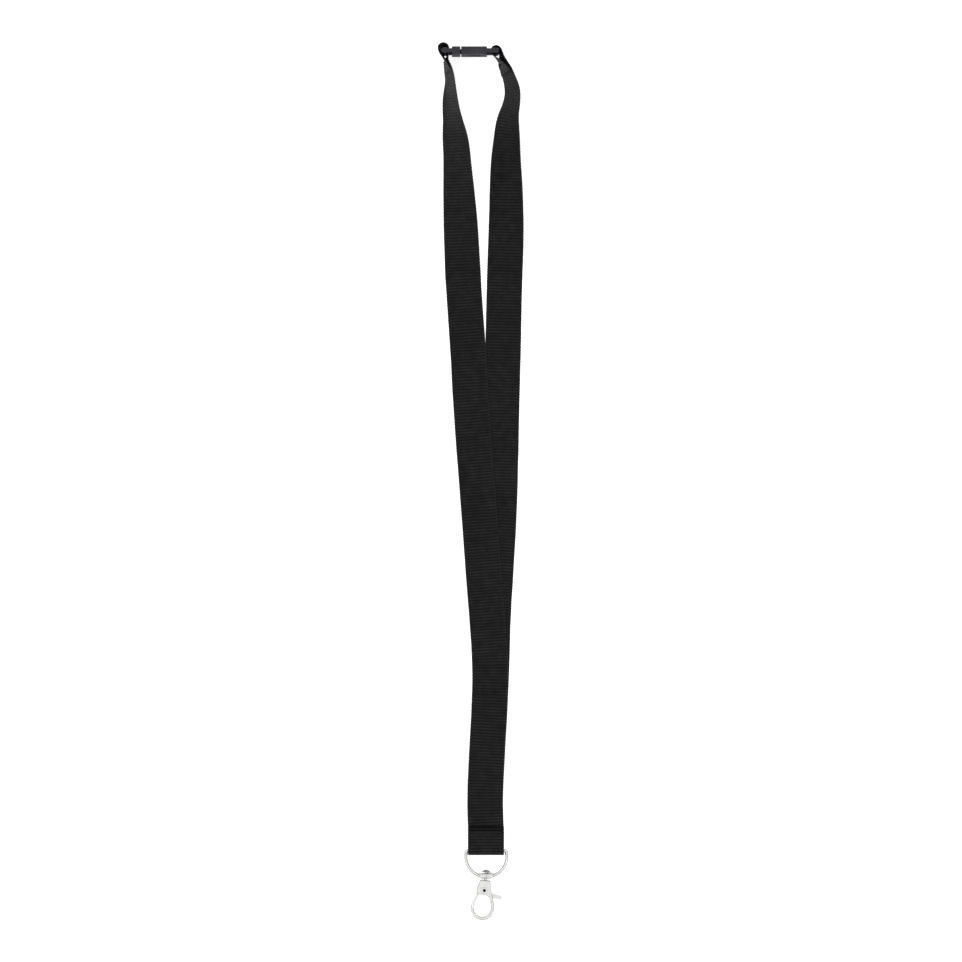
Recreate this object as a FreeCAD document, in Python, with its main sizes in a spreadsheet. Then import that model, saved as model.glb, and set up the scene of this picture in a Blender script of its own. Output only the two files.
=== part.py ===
import FreeCAD, Part

import math
import os
from FreeCAD import Placement, Rotation, Vector

# A ribbon lanyard lying face up on a flat surface, in millimetres. +X is across the lanyard, +Y runs along it
# towards the breakaway buckle, and +Z is up. The buckle stands on its long edge, so both ribbons leave it on edge
# and twist a quarter turn to lie flat. The origin is under the middle of the whole object.

DOC = FreeCAD.newDocument("Lanyard")

SIZES = {
    "ribbon_width": 20.0,
    "ribbon_thick": 0.7,
    "thread_radius": 0.22,
    "buckle_mid_y": 241.25,
    "buckle_width": 24.0,
    "buckle_thick": 4.2,
    "rail_thick": 2.1,
    "rail_inner": 20.6,
    "bar_dia": 2.0,
    "male_bar_x": -20.5,
    "male_collar_x": -16.3,
    "male_collar_long": 4.65,
    "sleeve_x": -11.1,
    "sleeve_long": 14.4,
    "female_bar_x": 8.5,
    "socket_deep": 11.2,
    "socket_high": 1.9,
    "socket_wide": 19.6,
    "prong_high": 1.6,
    "fitting_z": 3.3,
    "ring_x": 3.0,
    "ring_bar_y": -207.75,
    "ring_wire_dia": 2.0,
    "ring_wide": 23.1,
    "ring_tall": 14.85,
    "collar_thick": 4.6,
    "collar_bore_dia": 3.0,
    "post_x": 2.8,
    "post_y": -222.08,
    "post_lean": -6.5,
    "shank_dia": 1.9,
    "head_dia": 6.3,
    "foot_dia": 3.6,
    "body_thick": 6.0,
    "finger_thick": 3.0,
    "slot_thick": 3.3,
    "lever_thick": 2.0,
    "gate_thick": 2.8,
    "pivot_drop": 8.0,
    "rivet_dia": 2.4,
    "rivet_hole_dia": 1.6,
    "rivet_flange_dia": 3.74,
    "spring_wire_dia": 0.4,
}

SHEET = DOC.addObject("Spreadsheet::Sheet", "Sizes")
for row, (alias, value) in enumerate(SIZES.items(), start=1):
    SHEET.set(f"A{row}", alias)
    SHEET.set(f"B{row}", str(value))
    SHEET.setAlias(f"B{row}", alias)
DOC.recompute()


def size(alias):
    return float(getattr(SHEET, alias))


WIDTH = size("ribbon_width")
THICK = size("ribbon_thick")
PIVOT_Y = -size("pivot_drop")


# ---------------------------------------------------------------- ribbons
# Each route row is a point of the ribbon's middle line: x, y, lift, twist. Lift is the height of the ribbon's lower
# edge above the surface, and twist, in degrees, is 0 where the ribbon lies flat and 90 where it stands on edge.

LEFT_ROUTE = [
    (-18.9, 229.6, 1.4, 76), (-19.4, 233.0, 1.7, 80), (-20.4, 236.4, 1.9, 86), (-22.2, 239.3, 2.0, 90),
    (-23.5, 241.9, 2.0, 90), (-23.5, 243.8, 2.0, 90), (-22.1, 245.05, 2.0, 90), (-20.0, 245.05, 2.0, 90),
    (-18.6, 243.7, 2.0, 90), (-18.6, 241.9, 2.0, 90), (-18.75, 239.2, 2.0, 90), (-19.6, 236.3, 1.9, 86),
    (-18.6, 232.6, 1.7, 80), (-17.75, 228.4, 1.3, 75.5), (-17.2, 223.6, 1.0, 74), (-17.0, 217.0, 0.6, 69),
    (-16.6, 210.0, 0.3, 64.5), (-15.5, 203.0, 0.1, 59), (-14.6, 197.0, 0.05, 51), (-13.9, 190.0, 0.05, 43.5),
    (-13.3, 180.0, 0.05, 39), (-12.5, 165.0, 0.05, 29), (-11.7, 150.0, 0.05, 20), (-10.9, 133.0, 0.05, 9),
    (-10.1, 115.0, 0.2, 1.5), (-9.0, 98.0, 0.6, 0), (-7.4, 76.0, 0.8, 0), (-6.0, 48.0, 0.78, 0),
    (-3.7, 16.0, 0.78, 0), (-1.1, -17.0, 0.78, 0), (1.4, -52.0, 0.78, 0), (4.0, -84.0, 0.78, 0),
    (5.3, -106.0, 0.78, 0), (4.5, -131.0, 0.78, 0), (3.0, -157.0, 0.9, 0), (2.2, -178.0, 1.6, 0),
    (2.5, -190.0, 2.3, 0), (2.8, -196.1, 2.4, 0), (2.8, -201.5, 2.0, 0),
]
RIGHT_ROUTE = [
    (13.6, 228.9, 1.2, 73), (12.9, 232.2, 1.5, 76), (11.2, 235.2, 1.7, 82), (8.6, 237.7, 1.95, 88),
    (6.9, 239.4, 2.0, 90), (6.1, 241.1, 2.0, 90), (6.45, 242.6, 2.0, 90), (7.9, 243.6, 2.0, 90),
    (9.7, 243.4, 2.0, 90), (10.9, 241.9, 2.0, 90), (11.6, 239.8, 2.0, 90), (12.2, 237.3, 1.8, 85),
    (13.0, 234.2, 1.6, 78), (14.4, 231.0, 1.2, 74), (15.9, 226.7, 0.9, 70), (17.3, 222.1, 0.7, 66.5),
    (17.85, 217.6, 0.5, 64.8), (17.2, 212.2, 0.3, 61.5), (15.7, 206.3, 0.15, 56), (14.8, 200.0, 0.0, 48.5),
    (14.5, 192.0, 0.0, 42.5), (14.0, 181.0, 0.0, 33.5), (14.2, 168.0, 0.0, 24), (14.3, 153.0, 0.0, 15.5),
    (14.1, 137.0, 0.0, 6), (13.5, 120.0, 0.0, 0), (12.9, 98.0, 0.0, 0), (12.4, 70.0, 0.0, 0),
    (11.6, 42.0, 0.0, 0), (11.1, 14.0, 0.0, 0), (10.3, -16.0, 0.0, 0), (8.5, -48.0, 0.0, 0),
    (6.7, -76.0, 0.0, 0), (6.1, -102.0, 0.0, 0), (5.0, -128.0, 0.0, 0), (3.4, -155.0, 0.1, 0),
    (2.3, -178.0, 0.85, 0), (2.5, -190.0, 1.58, 0), (2.8, -196.1, 1.68, 0), (2.8, -201.5, 1.25, 0),
]
FOLD_X = 2.8
FOLD_STEP = 45.0
FOLD_CLEARANCE = 0.15
LAYER_GAP = 0.02
LEFT_FOLD_RADIUS = size("ring_wire_dia") / 2 + FOLD_CLEARANCE + THICK / 2
RIGHT_FOLD_RADIUS = LEFT_FOLD_RADIUS + THICK + LAYER_GAP
LEFT_TAIL = [(FOLD_X, -202.2, 3.75, 0), (FOLD_X, -197.6, 3.14, 0), (FOLD_X, -194.6, 3.14, 0)]
RIGHT_TAIL = [(FOLD_X, -202.2, 4.47, 0), (FOLD_X, -197.6, 3.86, 0), (FOLD_X, -194.2, 3.86, 0)]
CUT_LEVELS = {
    "loop": 200.0,
    "upper_twist": 160.0,
    "lower_twist": 118.0,
    "upper_leg": 76.0,
    "leg": -140.0,
    "lower_leg": -186.0,
}
BREAKAWAY_GAP = 0.1
STATIONS_PER_SPAN = 3


def fold_round_ring(radius):
    """Route rows that take a ribbon round the ring's straight bar, from under it to over it."""
    corner = radius / math.cos(math.radians(FOLD_STEP / 2))
    rows = []
    for k in range(6):
        turn = math.radians(-FOLD_STEP * 1.5 - k * FOLD_STEP)
        rows.append((
            FOLD_X,
            size("ring_bar_y") + corner * math.cos(turn),
            size("fitting_z") + corner * math.sin(turn) - THICK / 2,
            0.0,
        ))
    return rows


def middle_point(row):
    x, y, lift, twist = row
    turn = math.radians(twist)
    return Vector(x, y, lift + WIDTH / 2 * math.sin(turn) + THICK / 2 * math.cos(turn))


def smooth_line(route):
    """The quadratic curve whose control points are the route's points, with the twist carried along it."""
    poles = [middle_point(row) for row in route]
    spans = len(poles) - 2
    mults = [3] + [1] * (spans - 1) + [3]
    knots = list(range(spans + 1))
    line = Part.BSplineCurve()
    line.buildFromPolesMultsKnots(poles, mults, knots, False, 2)
    twist = Part.BSplineCurve()
    twist.buildFromPolesMultsKnots([Vector(row[3], 0, 0) for row in route], mults, knots, False, 2)
    return line, twist, spans


def ribbon_sections(route):
    """Four corners of the ribbon's cross-section at each station along the route."""
    line, twist, spans = smooth_line(route)
    sections = []
    for k in range(spans * STATIONS_PER_SPAN + 1):
        at = min(k / STATIONS_PER_SPAN, spans)
        centre = line.value(at)
        along = line.tangent(at)[0]
        turn = math.radians(twist.value(at).x)
        across = Vector(math.cos(turn), 0, math.sin(turn))
        across = across - along * across.dot(along)
        across.normalize()
        face = along.cross(across)
        half, deep = across * (WIDTH / 2), face * (THICK / 2)
        sections.append([centre - half - deep, centre + half - deep, centre + half + deep, centre - half + deep])
    return sections, line.length()


def facet_solid(sections):
    """A closed solid of flat facets through the sections, which all have the same number of corners.

    The second half of the corners is split along the other diagonal, so that a twisted strip keeps its thickness.
    """
    faces = [Part.Face(Part.makePolygon(end + [end[0]])) for end in (sections[0], sections[-1])]
    corners = len(sections[0])
    for one, two in zip(sections, sections[1:]):
        for k in range(corners):
            n = (k + 1) % corners
            ridge, sides = ((one[k], two[n]), (one[n], two[k]))
            if k >= corners / 2:
                ridge, sides = sides, ridge
            for side in sides:
                faces.append(Part.Face(Part.makePolygon([ridge[0], side, ridge[1], ridge[0]])))
    shell = Part.Shell(faces)
    solid = Part.Solid(shell)
    if solid.Volume < 0:
        solid.reverse()
    return solid


def crossing_after_loop(sections, level):
    """Index of the first section below the level, once the route has gone round the buckle bar."""
    top = max(range(len(sections)), key=lambda k: sections[k][0].y)
    return next(k for k in range(top, len(sections)) if max(p.y for p in sections[k]) < level)


def level_section(section):
    """The same cross-section turned so that all of it lies in one plane across Y."""
    level = sum(p.y for p in section) / len(section)
    return [Vector(p.x, level, p.z) for p in section]


def add_feature(label, shape, place=Placement()):
    part = DOC.addObject("Part::Feature", label)
    part.Label = label
    part.Shape = shape
    part.Placement = place
    return part


def ribbon(side, route, loop_gap):
    """One ribbon in nodes that meet face to face: its top loop, its twist, its flat leg and the fold at the ring."""
    sections, length = ribbon_sections(route)
    nodes = []
    begin = []
    at = 0
    for name, level in CUT_LEVELS.items():
        cut = crossing_after_loop(sections, level)
        across = level_section(sections[cut])
        nodes.append(add_feature(f"{side}_ribbon_{name}", facet_solid(begin + sections[at:cut] + [across])))
        gap = loop_gap if name == "loop" else 0.0
        begin = [[p - Vector(0, gap, 0) for p in across]]
        at = cut + 1
    nodes.append(add_feature(f"{side}_ribbon_fold", facet_solid(begin + sections[at:])))
    volume = sum(node.Shape.Volume for node in nodes)
    print(f"{side} ribbon length %.1f volume ratio %.4f" % (length, volume / length / (WIDTH * THICK)))
    return nodes


def ribbons():
    left = LEFT_ROUTE + fold_round_ring(LEFT_FOLD_RADIUS) + LEFT_TAIL
    right = RIGHT_ROUTE + fold_round_ring(RIGHT_FOLD_RADIUS) + RIGHT_TAIL
    return ribbon("left", left, BREAKAWAY_GAP) + ribbon("right", right, 0.0)


# ---------------------------------------------------------------- stitching
# A lockstitch row is one thread pair: a bar on each face of the pile between two holes, and a link down each hole.

def stitch_row(label, centre, across, through, reach, pile, holes):
    """One row of lockstitch: centred at centre, along across, with the pile of ribbon measured along through."""
    radius = size("thread_radius")
    pitch = 2 * reach / (holes - 1)
    half = pile / 2 + radius * 0.6
    pieces = []
    for k in range(holes):
        hole = centre + across * (k * pitch - reach)
        pieces.append(Part.makeCylinder(radius, 2 * half, hole - through * half, through))
        for side in (half, -half):
            pieces.append(Part.makeSphere(radius, hole + through * side))
            if k < holes - 1:
                pieces.append(Part.makeCylinder(radius, pitch, hole + through * side, across))
    return add_feature(label, pieces[0].fuse(pieces[1:]).removeSplitter())


def tilted(twist):
    turn = math.radians(twist)
    return Vector(math.cos(turn), 0, math.sin(turn)), Vector(-math.sin(turn), 0, math.cos(turn))


def stitching():
    rows = []
    across, through = tilted(86)
    rows.append(stitch_row("left_loop_stitching", Vector(-20.0, 235.95, 11.9), across, through, 8.0, 1.75, 6))
    across, through = tilted(78.5)
    rows.append(stitch_row("right_loop_stitching", Vector(12.55, 233.95, 11.4), across, through, 8.0, 1.75, 6))
    rows.append(stitch_row("bottom_stitching", Vector(FOLD_X, -196.3, 3.12), Vector(1, 0, 0), Vector(0, 0, 1),
                           8.0, 2.9, 6))
    return rows


# ---------------------------------------------------------------- part design helpers

def new_body(label, bindings):
    """A body whose placement is bound to the sheet."""
    body = DOC.addObject("PartDesign::Body", label)
    body.Label = label
    for path, expression in bindings.items():
        body.setExpression(path, expression)
    return body


def new_sketch(body, name, role, pieces, offset=None):
    """A sketch on one of the body's own origin planes. Each piece is a curve to add."""
    sketch = body.newObject("Sketcher::SketchObject", name)
    plane = next(f for f in body.Origin.OriginFeatures if f.Role == role)
    sketch.AttachmentSupport = [(plane, "")]
    sketch.MapMode = "FlatFace"
    if offset is not None:
        sketch.AttachmentOffset = Placement(Vector(0, 0, offset), Rotation())
    for piece in pieces:
        sketch.addGeometry(piece, False)
    return sketch


def outline(*steps):
    """A closed run of lines, and of arcs where a step gives a middle point before its end point."""
    curves = []
    here = steps[0]
    for step in list(steps[1:]) + [steps[0]]:
        if isinstance(step[0], tuple):
            middle, step = step
            curves.append(Part.Arc(Vector(*here, 0), Vector(*middle, 0), Vector(*step, 0)))
        else:
            curves.append(Part.LineSegment(Vector(*here, 0), Vector(*step, 0)))
        here = step
    return curves


def rectangle(x0, y0, x1, y1):
    return outline((x0, y0), (x1, y0), (x1, y1), (x0, y1))


def disc(x, y, radius):
    return [Part.Circle(Vector(x, y, 0), Vector(0, 0, 1), radius)]


def solid_step(body, kind, sketch, name, length):
    """A pad or pocket both ways from its sketch. A pocket that removes nothing is an error."""
    before = body.Shape.Volume if body.Tip else 0.0
    feature = body.newObject(f"PartDesign::{kind}", name)
    feature.Profile = sketch
    feature.Midplane = True
    if isinstance(length, str):
        feature.setExpression("Length", length)
    else:
        feature.Length = length
    DOC.recompute()
    if kind == "Pocket" and not feature.Shape.Volume < before - 1e-6:
        raise RuntimeError(f"{name} cuts nothing")
    return feature


def turned_step(body, kind, sketch, name, axis="V_Axis"):
    before = body.Shape.Volume if body.Tip else 0.0
    feature = body.newObject(f"PartDesign::{kind}", name)
    feature.Profile = sketch
    feature.ReferenceAxis = (sketch, [axis])
    feature.Angle = 360.0
    DOC.recompute()
    if kind == "Groove" and not feature.Shape.Volume < before - 1e-6:
        raise RuntimeError(f"{name} cuts nothing")
    return feature


def round_edges(body, name, radius, wanted):
    """Fillets every edge of the body whose middle point passes the test."""
    base = body.Tip
    names = []
    for k, edge in enumerate(base.Shape.Edges, start=1):
        first, last = edge.ParameterRange
        if wanted(edge.valueAt((first + last) / 2), edge):
            names.append(f"Edge{k}")
    fillet = body.newObject("PartDesign::Fillet", name)
    fillet.Base = (base, names)
    fillet.Radius = radius
    DOC.recompute()
    if not fillet.Shape.isValid() or "Invalid" in fillet.State:
        raise RuntimeError(f"{name} fails on {len(names)} edges")
    return fillet


# ---------------------------------------------------------------- buckle
# Both halves share one frame: X along the buckle, Y through its thickness, Z across it.

BUCKLE_PLACE = {
    "Placement.Base.y": "Sizes.buckle_mid_y",
    "Placement.Base.z": "Sizes.buckle_width / 2",
}
FRAME_OVERLAP = 0.6
BLOCK_ROUND = 0.6
END_BLOCK_THICK = 2.9
END_BLOCK_ROUND = 1.2
PANEL_DEEP = 0.4
PANEL_MARGIN = (3.8, 3.7)
PANEL_WIDE = 13.0


def buckle_frame(body, near_x, bar_x, inner_x, block_x):
    """Two side rails from near_x to block_x, the bar that the ribbon goes round, and a rounded block at each of its
    ends, from inner_x to block_x."""
    rail_low, rail_high = size("rail_inner") / 2, size("buckle_width") / 2
    rails = []
    ends = []
    for side in (-1, 1):
        rails += rectangle(near_x, side * rail_low, block_x, side * rail_high)
        ends += rectangle(inner_x, side * rail_low, block_x, side * rail_high)
    solid_step(body, "Pad", new_sketch(body, "RailOutline", "XZ_Plane", rails), "Rails", "Sizes.rail_thick")
    solid_step(body, "Pad", new_sketch(body, "BlockOutline", "XZ_Plane", ends), "EndBlocks", END_BLOCK_THICK)
    corner = END_BLOCK_THICK / 2
    round_edges(body, "EndRound", END_BLOCK_ROUND,
                lambda middle, edge: abs(middle.x - block_x) < 0.01 and abs(abs(middle.y) - corner) < 0.01)
    bar = new_sketch(body, "BarSection", "XY_Plane", disc(bar_x, 0, size("bar_dia") / 2))
    solid_step(body, "Pad", bar, "Bar", "Sizes.rail_inner + 1")


def long_block_edge(low_x, high_x):
    """Picks the long outside edges and end corners of a block between two X values."""
    half_thick = size("buckle_thick") / 2
    half_wide = size("buckle_width") / 2

    def wanted(middle, edge):
        inside = low_x + 0.05 < middle.x < high_x - 0.05
        corner = abs(abs(middle.y) - half_thick) < 0.01 and abs(abs(middle.z) - half_wide) < 0.01
        return inside and corner and edge.Length > 2

    return wanted


def buckle_female():
    body = new_body("buckle_female", BUCKLE_PLACE)
    x0 = size("sleeve_x")
    x1 = x0 + size("sleeve_long")
    half = size("buckle_width") / 2
    block = new_sketch(body, "SleeveOutline", "XZ_Plane", rectangle(x0, -half, x1, half))
    solid_step(body, "Pad", block, "Sleeve", "Sizes.buckle_thick")
    round_edges(body, "SleeveRound", BLOCK_ROUND, long_block_edge(x0, x1))
    bar_x = size("female_bar_x")
    buckle_frame(body, x1 - FRAME_OVERLAP, bar_x, bar_x - 1.9, bar_x + 1.6)
    reach = size("socket_deep")
    socket = rectangle(x0 - 1, -size("socket_high") / 2, x0 + reach, size("socket_high") / 2)
    solid_step(body, "Pocket", new_sketch(body, "SocketOutline", "XY_Plane", socket), "Socket",
               "Sizes.socket_wide")
    panel = rectangle(x0 + PANEL_MARGIN[0], -PANEL_WIDE / 2, x1 - PANEL_MARGIN[1], PANEL_WIDE / 2)
    for name, side in (("Front", 1), ("Back", -1)):
        sketch = new_sketch(body, f"{name}PanelOutline", "XZ_Plane", panel, side * size("buckle_thick") / 2)
        solid_step(body, "Pocket", sketch, f"{name}Panel", 2 * PANEL_DEEP)
    return body


def buckle_male():
    body = new_body("buckle_male", BUCKLE_PLACE)
    x0 = size("male_collar_x")
    x1 = x0 + size("male_collar_long")
    half = size("buckle_width") / 2
    block = new_sketch(body, "CollarOutline", "XZ_Plane", rectangle(x0, -half, x1, half))
    solid_step(body, "Pad", block, "Collar", "Sizes.buckle_thick")
    round_edges(body, "CollarRound", BLOCK_ROUND, long_block_edge(x0, x1))
    bar_x = size("male_bar_x")
    buckle_frame(body, x0 + FRAME_OVERLAP, bar_x, bar_x + 1.5, bar_x - 1.4)
    prong_end = size("sleeve_x") + size("socket_deep") - 1.2
    prongs = rectangle(x1 - 0.5, -2.5, prong_end - 2.5, 2.5)
    for side in (-1, 1):
        prongs += outline((x1 - 0.5, side * 6.6), (prong_end - 3.0, side * 7.4), (prong_end, side * 7.9),
                          (prong_end - 0.4, side * 9.2), (prong_end - 2.6, side * 9.5),
                          (prong_end - 3.2, side * 8.8), (x1 - 0.5, side * 8.4))
    solid_step(body, "Pad", new_sketch(body, "ProngOutline", "XZ_Plane", prongs), "Prongs", "Sizes.prong_high")
    return body


# ---------------------------------------------------------------- D-ring
# Local frame: the origin is in the middle of the straight bar, and the bow hangs towards -Y.

CORNER_RADIUS = 1.4
COLLAR_TOP = -12.7
COLLAR_FOOT = -15.6


def d_ring():
    body = new_body("d_ring", {
        "Placement.Base.x": "Sizes.ring_x",
        "Placement.Base.y": "Sizes.ring_bar_y",
        "Placement.Base.z": "Sizes.fitting_z",
    })
    half = size("ring_wide") / 2
    bow_y = half - size("ring_tall")
    inset = CORNER_RADIUS * (1 - math.sqrt(0.5))
    path = outline(
        (0, 0), (half - CORNER_RADIUS, 0), ((half - inset, -inset), (half, -CORNER_RADIUS)), (half, bow_y),
        ((0, bow_y - half), (-half, bow_y)), (-half, -CORNER_RADIUS),
        ((-half + inset, -inset), (-half + CORNER_RADIUS, 0)),
    )
    spine = new_sketch(body, "RingPath", "XY_Plane", path)
    section = new_sketch(body, "WireSection", "YZ_Plane", disc(0, 0, size("ring_wire_dia") / 2))
    wire = body.newObject("PartDesign::AdditivePipe", "RingWire")
    wire.Profile = section
    wire.Spine = (spine, [f"Edge{k + 1}" for k in range(len(path))])
    DOC.recompute()
    collar = outline((-4.3, COLLAR_TOP), (-3.15, COLLAR_FOOT), (3.15, COLLAR_FOOT), (4.3, COLLAR_TOP))
    solid_step(body, "Pad", new_sketch(body, "CollarOutline", "XY_Plane", collar), "Collar", "Sizes.collar_thick")
    outer = size("collar_thick") / 2
    round_edges(body, "CollarRound", 0.7, lambda middle, edge: abs(abs(middle.z) - outer) < 0.01)
    bore = size("collar_bore_dia") / 2
    cut = new_sketch(body, "BoreSection", "XZ_Plane", disc(0, 0, bore), (COLLAR_TOP + COLLAR_FOOT) / -2)
    solid_step(body, "Pocket", cut, "Bore", COLLAR_TOP - COLLAR_FOOT + 2)
    seam = new_sketch(body, "SeamOutline", "XY_Plane", rectangle(-0.1, COLLAR_FOOT - 1, 0.1, COLLAR_TOP + 1), outer)
    solid_step(body, "Pocket", seam, "Seam", 2 * (outer - bore) + 1)
    return body


# ---------------------------------------------------------------- swivel post, hook, lever, rivet
# These share one frame: the origin is in the middle of the ring's collar, the post runs along Y, and the hook hangs
# towards -Y. The whole frame leans a little to the left about Z.

HOOK_PLACE = {
    "Placement.Base.x": "Sizes.post_x",
    "Placement.Base.y": "Sizes.post_y",
    "Placement.Base.z": "Sizes.fitting_z",
    "Placement.Rotation.Angle": "Sizes.post_lean",
}
HEAD_BASE = 2.25
HEAD_TOP = 4.0
FOOT_TOP = -3.65
FOOT_BASE = -4.75
BODY_TOP = -2.25
EYE_Y = -18.2
EYE_RADIUS = 4.7
BOW_X = 0.1
BOW_RADIUS = 6.75
TIP_Y = -17.0
TIP_INNER_X = -5.75
LEVER_LIFT = 0.5


def swivel_post():
    body = new_body("swivel_post", HOOK_PLACE)
    head, shank, foot = size("head_dia") / 2, size("shank_dia") / 2, size("foot_dia") / 2
    rim_y = HEAD_BASE + 0.35
    dome_radius = (head ** 2 + (HEAD_TOP - rim_y) ** 2) / (2 * (HEAD_TOP - rim_y))
    half_turn = math.asin(head / dome_radius) / 2
    dome = (dome_radius * math.sin(half_turn), HEAD_TOP - dome_radius * (1 - math.cos(half_turn)))
    profile = outline(
        (0, FOOT_BASE), (foot, FOOT_BASE), (foot, FOOT_TOP), (shank, FOOT_TOP), (shank, HEAD_BASE),
        (head - 0.2, HEAD_BASE), (head, rim_y), (dome, (0, HEAD_TOP)),
    )
    turned_step(body, "Revolution", new_sketch(body, "PostProfile", "XY_Plane", profile), "Post")
    return body


def hook_body():
    body = new_body("hook_body", HOOK_PLACE)
    low = EYE_Y - EYE_RADIUS
    bow_low = EYE_Y - BOW_RADIUS
    finger = outline(
        (3.9, -8.5), (4.9, -11.2), (6.3, -14.6),
        ((BOW_X + BOW_RADIUS * math.cos(0.12), EYE_Y + BOW_RADIUS * math.sin(0.12)), (BOW_X + BOW_RADIUS, EYE_Y)),
        ((BOW_X, bow_low), (BOW_X - BOW_RADIUS, EYE_Y)), (-6.6, TIP_Y), (TIP_INNER_X, TIP_Y),
        (TIP_INNER_X, -18.1), (-4.7, -18.6),
        ((0, low), (EYE_RADIUS, EYE_Y)), (4.6, -16.6), (3.9, -13.6), (2.6, -11.2), (2.0, -8.5),
    )
    solid_step(body, "Pad", new_sketch(body, "FingerOutline", "XY_Plane", finger), "Finger", "Sizes.finger_thick")
    half = size("finger_thick") / 2

    def along_finger(middle, edge):
        at_tip = -6.5 < middle.x < -4.8 and -18.5 < middle.y < TIP_Y + 0.1
        return abs(abs(middle.z) - half) < 0.01 and not at_tip

    round_edges(body, "FingerRound", 0.75, along_finger)
    block = outline(
        (-3.0, BODY_TOP), (3.0, BODY_TOP), (3.35, -4.6), (3.75, -7.2), (4.5, -9.6), (5.3, -11.8), (6.0, -13.9),
        (4.1, -14.1), (2.95, -11.7), (1.5, -10.7), (0.2, -10.45), (-4.35, -10.65), (-4.5, -8.4), (-4.1, -5.6),
        (-3.45, -3.6),
    )
    solid_step(body, "Pad", new_sketch(body, "BlockOutline", "XY_Plane", block), "Block", "Sizes.body_thick")
    face = size("body_thick") / 2
    round_edges(body, "BlockRound", 0.6, lambda middle, edge: abs(abs(middle.z) - face) < 0.01)
    slot = rectangle(-8, -12.75, 8, -5.35)
    solid_step(body, "Pocket", new_sketch(body, "SlotOutline", "XY_Plane", slot), "Slot", "Sizes.slot_thick")
    pivot = disc(0, PIVOT_Y, size("rivet_dia") / 2)
    solid_step(body, "Pocket", new_sketch(body, "PivotSection", "XY_Plane", pivot), "PivotHole", "Sizes.body_thick + 2")
    neck, seat = size("shank_dia") / 2 + 0.08, size("foot_dia") / 2 + 0.1
    cavity = outline((0, BODY_TOP + 1), (neck, BODY_TOP + 1), (neck, FOOT_TOP + 0.1), (seat, FOOT_TOP + 0.1),
                     (seat, -5.5), (0, -5.5))
    turned_step(body, "Groove", new_sketch(body, "FootCavity", "XY_Plane", cavity), "PostCavity")
    return body


def trigger_lever():
    body = new_body("trigger_lever", HOOK_PLACE)
    hub = new_sketch(body, "HubSection", "XY_Plane", disc(0, PIVOT_Y, 2.45), LEVER_LIFT)
    solid_step(body, "Pad", hub, "Hub", "Sizes.lever_thick")
    arm = outline((-0.6, -6.0), (-2.35, -7.6), (-3.9, -10.2), (-4.9, -12.6), (-3.5, -12.6), (-2.9, -10.9),
                  (-1.2, -10.1), (1.6, -9.6))
    solid_step(body, "Pad", new_sketch(body, "ArmOutline", "XY_Plane", arm, LEVER_LIFT), "Arm", "Sizes.lever_thick")
    tab = outline((0.8, -6.2), (4.4, -9.1), (9.4, -9.9), ((10.3, -11.0), (9.3, -12.25)), (5.4, -11.95),
                  (4.2, -11.6), (1.2, -10.0))
    solid_step(body, "Pad", new_sketch(body, "TabOutline", "XY_Plane", tab, LEVER_LIFT), "Tab", "Sizes.lever_thick")
    gate = outline((-4.95, -12.1), (-6.25, -15.9), (-5.6, -16.85), (-5.6, -17.92), (-4.7, -18.15), (-4.25, -15.4),
                   (-3.35, -12.1))
    solid_step(body, "Pad", new_sketch(body, "GateOutline", "XY_Plane", gate), "Gate", "Sizes.gate_thick")
    bore = disc(0, PIVOT_Y, size("rivet_dia") / 2 + 0.05)
    solid_step(body, "Pocket", new_sketch(body, "BoreSection", "XY_Plane", bore), "Bore", 8.0)
    return body


def pivot_rivet():
    body = new_body("pivot_rivet", HOOK_PLACE)
    shank, hole, flange = size("rivet_dia") / 2, size("rivet_hole_dia") / 2, size("rivet_flange_dia") / 2
    face = size("body_thick") / 2
    ring = new_sketch(body, "TubeSection", "XY_Plane", disc(0, PIVOT_Y, shank) + disc(0, PIVOT_Y, hole))
    solid_step(body, "Pad", ring, "Tube", "Sizes.body_thick")
    for name, side in (("Front", 1), ("Back", -1)):
        lip = disc(0, PIVOT_Y, flange) + disc(0, PIVOT_Y, hole)
        sketch = new_sketch(body, f"{name}LipSection", "XY_Plane", lip, side * (face + 0.13))
        solid_step(body, "Pad", sketch, f"{name}Lip", 0.26)
    round_edges(body, "LipRound", 0.18, lambda middle, edge: abs(middle.z) > face + 0.2)
    return body


def trigger_spring():
    """Torsion spring of one and a quarter turns under the lever's hub, with a leg each way, in faceted wire."""
    wire = size("spring_wire_dia") / 2
    radius, pitch, turns, steps = 1.7, 0.42, 1.25, 16
    low = -(size("slot_thick") / 2) + wire + 0.03
    route = [Vector(radius, -2.3, 0)]
    for k in range(int(turns * steps) + 1):
        turn = 2 * math.pi * k / steps
        route.append(Vector(radius * math.cos(turn), radius * math.sin(turn), pitch * k / steps))
    end = route[-1]
    route.append(Vector(end.x - 3.2, end.y - 0.2, end.z))
    lean = Placement(Vector(size("post_x"), size("post_y"), size("fitting_z")),
                     Rotation(Vector(0, 0, 1), size("post_lean")))
    shape = facet_solid(wire_sections(route, wire, 8))
    return add_feature("trigger_spring", shape, lean.multiply(Placement(Vector(0, PIVOT_Y, low), Rotation())))


def wire_sections(route, radius, sides):
    """Corners of a many-sided wire at each point of a route that runs nearly level."""
    sections = []
    for k, point in enumerate(route):
        along = route[min(k + 1, len(route) - 1)] - route[max(k - 1, 0)]
        along.normalize()
        across = along.cross(Vector(0, 0, 1))
        across.normalize()
        up = across.cross(along)
        turns = [2 * math.pi * n / sides for n in range(sides)]
        sections.append([point + across * (radius * math.cos(a)) + up * (radius * math.sin(a)) for a in turns])
    return sections


# ---------------------------------------------------------------- build, check, write

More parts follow.
